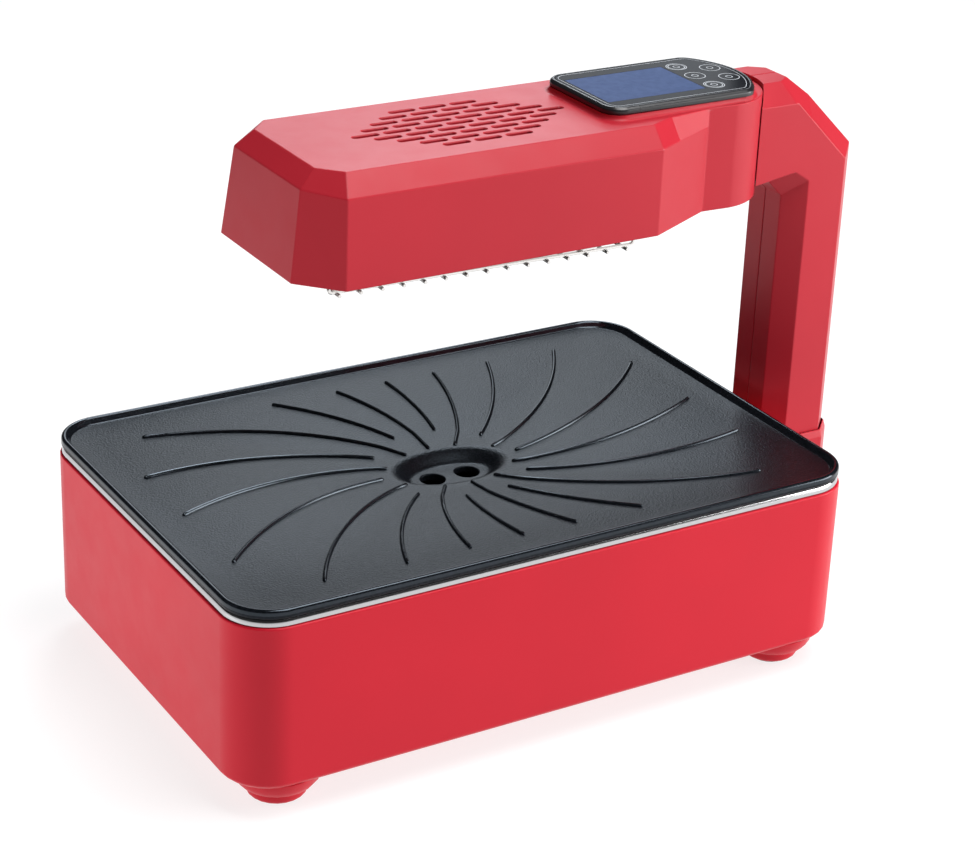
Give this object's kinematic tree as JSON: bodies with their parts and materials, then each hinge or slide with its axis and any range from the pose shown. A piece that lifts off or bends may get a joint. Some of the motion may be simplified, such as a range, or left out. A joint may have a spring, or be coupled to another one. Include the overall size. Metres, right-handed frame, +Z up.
{
  "type": "infrared grill",
  "caption": "Countertop infrared grill: rectangular tub with a swirl-ribbed drained plate over a drip tray, and a faceted lamp head that swivels on a side column.",
  "frame": {"origin": "middle of the bounding box's footprint, on the surface the feet stand on", "axes": "+Z up, +X from the tub towards the column, +Y to the rear"},
  "size_m": [0.4828, 0.276, 0.345],
  "materials": {
    "red_plastic": "satin",
    "black_plate": "satin non-stick coating",
    "tray_steel": "bright",
    "mast_steel": "satin",
    "guard_steel": "bright",
    "reflector_aluminium": "polished",
    "black_plastic": "gloss",
    "panel_glass": "high gloss",
    "screen_blue": "gloss",
    "pad_rubber": "matte",
    "bush_nylon": "matte",
    "lamp_quartz": "clear",
    "holder_ceramic": "matte ceramic"
  },
  "bodies": {
    "base": {"base_housing": "red_plastic", "foot_front_left": "red_plastic", "foot_front_right": "red_plastic", "foot_rear_left": "red_plastic", "foot_rear_right": "red_plastic", "foot_pad_front_left": "pad_rubber", "foot_pad_front_right": "pad_rubber", "foot_pad_rear_left": "pad_rubber", "foot_pad_rear_right": "pad_rubber", "column_socket": "red_plastic", "column_front_shell": "red_plastic", "column_rear_shell": "red_plastic", "mast_tube": "mast_steel", "pivot_bracket": "mast_steel", "pivot_shaft": "mast_steel", "friction_washer": "bush_nylon", "cord_gland": "black_plastic"},
    "tray": {"drip_tray": "tray_steel"},
    "plate": {"grill_plate": "black_plate"},
    "head": {"head_housing": "red_plastic", "neck_cover": "red_plastic", "upper_bush": "bush_nylon", "lower_bush": "bush_nylon", "panel_bezel": "black_plastic", "panel_lens": "panel_glass", "lcd_module": "screen_blue", "reflector": "reflector_aluminium", "lamp_holder_left": "holder_ceramic", "lamp_holder_right": "holder_ceramic", "lamp_tube_front": "lamp_quartz", "lamp_tube_rear": "lamp_quartz", "wire_guard": "guard_steel", "guard_clip_front_left": "guard_steel", "guard_clip_front_right": "guard_steel", "guard_clip_rear_left": "guard_steel", "guard_clip_rear_right": "guard_steel"}
  },
  "joints": [
    {"name": "head_swivel", "type": "hinge", "parent": "base", "child": "head", "pos_m": [0.13005, 0, 0.292], "axis": [0, 0, 1], "range_deg": [-35, 35]},
    {"name": "tray_lift", "type": "slide", "parent": "base", "child": "tray", "axis": [0, 0, 1], "range_m": [0, 0.045]},
    {"name": "plate_lift", "type": "slide", "parent": "tray", "child": "plate", "axis": [0, 0, 1], "range_m": [0, 0.05]}
  ]
}
